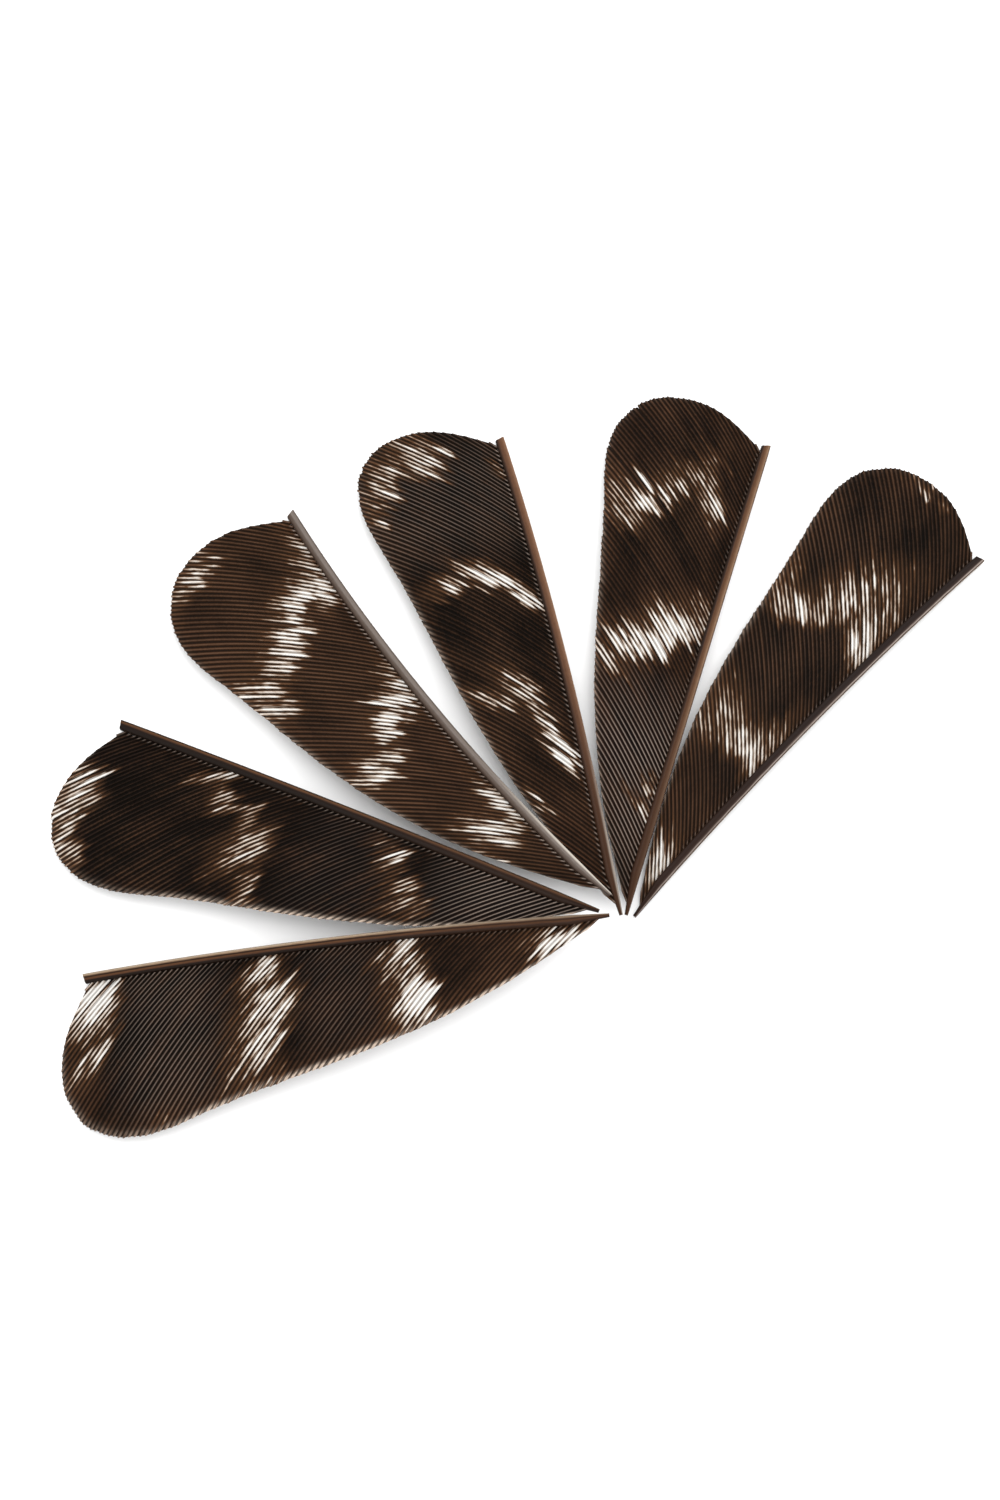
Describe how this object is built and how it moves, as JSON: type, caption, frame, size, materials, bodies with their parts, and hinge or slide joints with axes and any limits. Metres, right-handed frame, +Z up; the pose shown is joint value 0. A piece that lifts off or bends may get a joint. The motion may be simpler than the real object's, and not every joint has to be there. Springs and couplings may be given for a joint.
{
  "type": "fletching feather set",
  "caption": "Loose barred fletching feathers laid nose to nose in an overlapping fan, each a curved web of barbs on a ground quill strip.",
  "frame": {"origin": "on the surface the feathers lie on, below the centre of the whole fan's bounding box", "axes": "+Z up; +X along the fan's long side; the noses meet towards -Y and the quill ends spread towards -X and +Y"},
  "size_m": [0.1388, 0.1124, 0.0076],
  "materials": {
    "quill_cortex": "satin",
    "quill_pith": "matte",
    "web_sheet": "matte",
    "barbs": "satin"
  },
  "bodies": {
    "feather_1": {"feather_1_quill_cortex": "quill_cortex", "feather_1_quill_pith": "quill_pith", "feather_1_web_sheet": "web_sheet", "feather_1_barbs": "barbs"},
    "feather_2": {"feather_2_quill_cortex": "quill_cortex", "feather_2_quill_pith": "quill_pith", "feather_2_web_sheet": "web_sheet", "feather_2_barbs": "barbs"},
    "feather_3": {"feather_3_quill_cortex": "quill_cortex", "feather_3_quill_pith": "quill_pith", "feather_3_web_sheet": "web_sheet", "feather_3_barbs": "barbs"},
    "feather_4": {"feather_4_quill_cortex": "quill_cortex", "feather_4_quill_pith": "quill_pith", "feather_4_web_sheet": "web_sheet", "feather_4_barbs": "barbs"},
    "feather_5": {"feather_5_quill_cortex": "quill_cortex", "feather_5_quill_pith": "quill_pith", "feather_5_web_sheet": "web_sheet", "feather_5_barbs": "barbs"},
    "feather_6": {"feather_6_quill_cortex": "quill_cortex", "feather_6_quill_pith": "quill_pith", "feather_6_web_sheet": "web_sheet", "feather_6_barbs": "barbs"}
  },
  "joints": [
    {"name": "feather_5_lift_off", "type": "slide", "parent": "feather_6", "child": "feather_5", "axis": [0, 0, 1], "range_m": [0, 0.03]},
    {"name": "feather_4_lift_off", "type": "slide", "parent": "feather_5", "child": "feather_4", "axis": [0, 0, 1], "range_m": [0, 0.03]},
    {"name": "feather_3_lift_off", "type": "slide", "parent": "feather_4", "child": "feather_3", "axis": [0, 0, 1], "range_m": [0, 0.03]},
    {"name": "feather_2_lift_off", "type": "slide", "parent": "feather_3", "child": "feather_2", "axis": [0, 0, 1], "range_m": [0, 0.03]},
    {"name": "feather_1_lift_off", "type": "slide", "parent": "feather_2", "child": "feather_1", "axis": [0, 0, 1], "range_m": [0, 0.03]}
  ]
}
